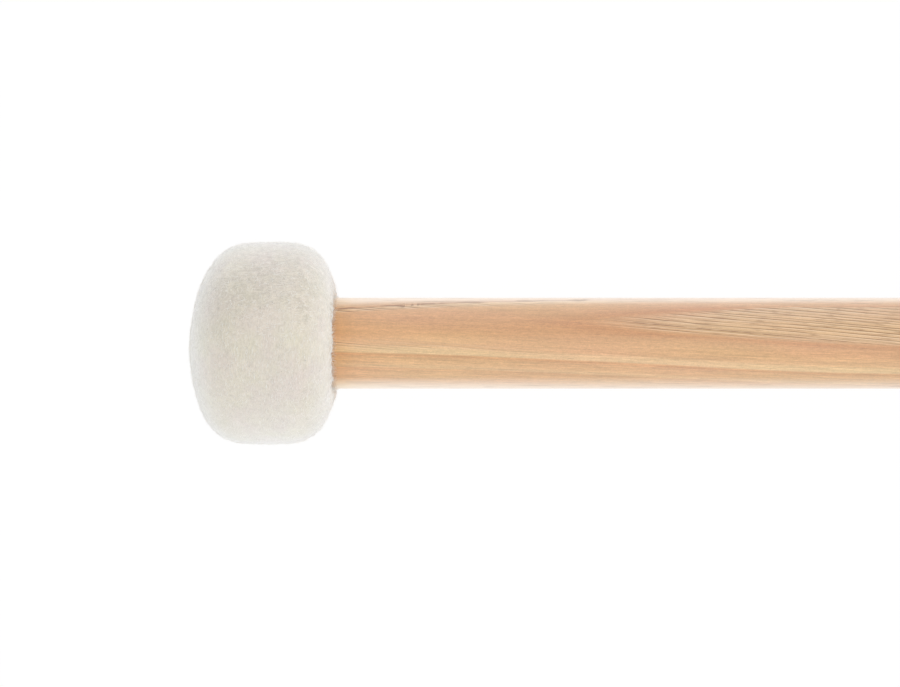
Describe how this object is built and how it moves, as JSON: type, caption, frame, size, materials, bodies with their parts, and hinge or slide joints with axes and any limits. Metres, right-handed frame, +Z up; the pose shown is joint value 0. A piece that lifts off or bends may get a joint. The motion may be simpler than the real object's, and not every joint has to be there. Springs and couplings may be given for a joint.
{
  "type": "drum mallet",
  "caption": "Straight round wooden handle with a rounded butt and a domed white wool-felt head, for striking a marching bass drum.",
  "frame": {"origin": "centre of the handle's flat butt face", "axes": "+X along the mallet's axis, out of the butt face and away from the head; +Z up when the mallet lies flat"},
  "size_m": [0.35, 0.036, 0.036],
  "materials": {
    "hickory": "satin",
    "maple": "matte",
    "zinc_plate": "satin",
    "bright_steel": "satin",
    "pad_felt": "matte",
    "strip_felt": "matte",
    "ring_felt": "matte",
    "white_wool_felt": "matte"
  },
  "bodies": {
    "root": {"handle": "hickory", "head_core": "maple", "core_washer": "zinc_plate", "core_screw": "bright_steel", "front_pad": "pad_felt", "felt_liner": "strip_felt", "back_ring": "ring_felt", "felt_cover": "white_wool_felt"}
  },
  "joints": []
}
